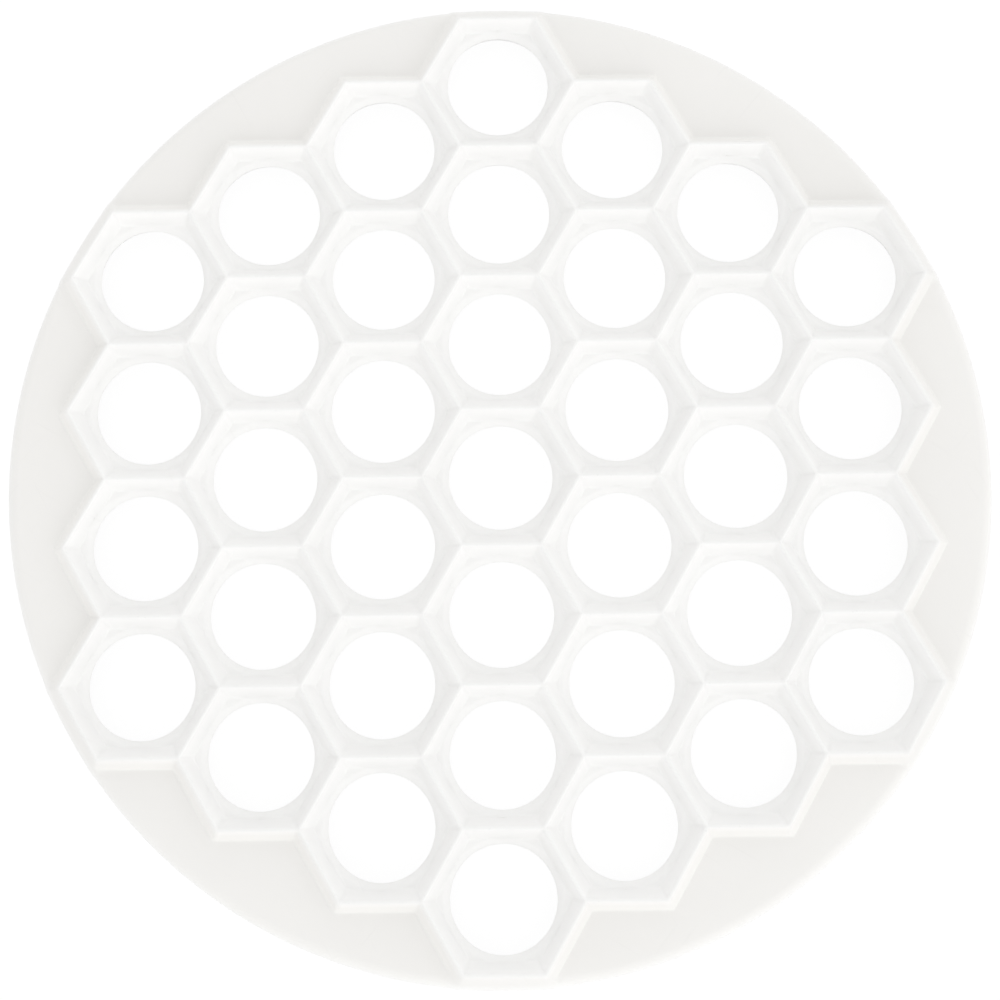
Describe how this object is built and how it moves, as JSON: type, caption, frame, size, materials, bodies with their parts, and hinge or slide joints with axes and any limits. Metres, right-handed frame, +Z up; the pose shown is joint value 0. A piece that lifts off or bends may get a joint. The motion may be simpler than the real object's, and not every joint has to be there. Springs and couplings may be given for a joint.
{
  "type": "dumpling mould",
  "caption": "Round white plastic plate with a honeycomb of ridged hexagonal cells, each with a round hole, for cutting and sealing a trayful of small dumplings.",
  "frame": {"origin": "middle of the plane the plate rests on, under the centre of the middle hole", "axes": "+Z up out of the ridged face, +Y towards the cell at the top of the picture, +X to the right of the picture"},
  "size_m": [0.247, 0.247, 0.013],
  "materials": {
    "white_plastic": "satin"
  },
  "bodies": {
    "root": {"cell_a1": "white_plastic", "cell_a2": "white_plastic", "cell_a3": "white_plastic", "cell_a4": "white_plastic", "cell_b1": "white_plastic", "cell_b2": "white_plastic", "cell_b3": "white_plastic", "cell_b4": "white_plastic", "cell_b5": "white_plastic", "cell_c1": "white_plastic", "cell_c2": "white_plastic", "cell_c3": "white_plastic", "cell_c4": "white_plastic", "cell_c5": "white_plastic", "cell_c6": "white_plastic", "cell_d1": "white_plastic", "cell_d2": "white_plastic", "cell_d3": "white_plastic", "cell_d4": "white_plastic", "cell_d5": "white_plastic", "cell_d6": "white_plastic", "cell_d7": "white_plastic", "cell_e1": "white_plastic", "cell_e2": "white_plastic", "cell_e3": "white_plastic", "cell_e4": "white_plastic", "cell_e5": "white_plastic", "cell_e6": "white_plastic", "cell_f1": "white_plastic", "cell_f2": "white_plastic", "cell_f3": "white_plastic", "cell_f4": "white_plastic", "cell_f5": "white_plastic", "cell_g1": "white_plastic", "cell_g2": "white_plastic", "cell_g3": "white_plastic", "cell_g4": "white_plastic", "rim_top_right": "white_plastic", "rim_top_left": "white_plastic", "rim_left": "white_plastic", "rim_bottom_left": "white_plastic", "rim_bottom_right": "white_plastic", "rim_right": "white_plastic"}
  },
  "joints": []
}
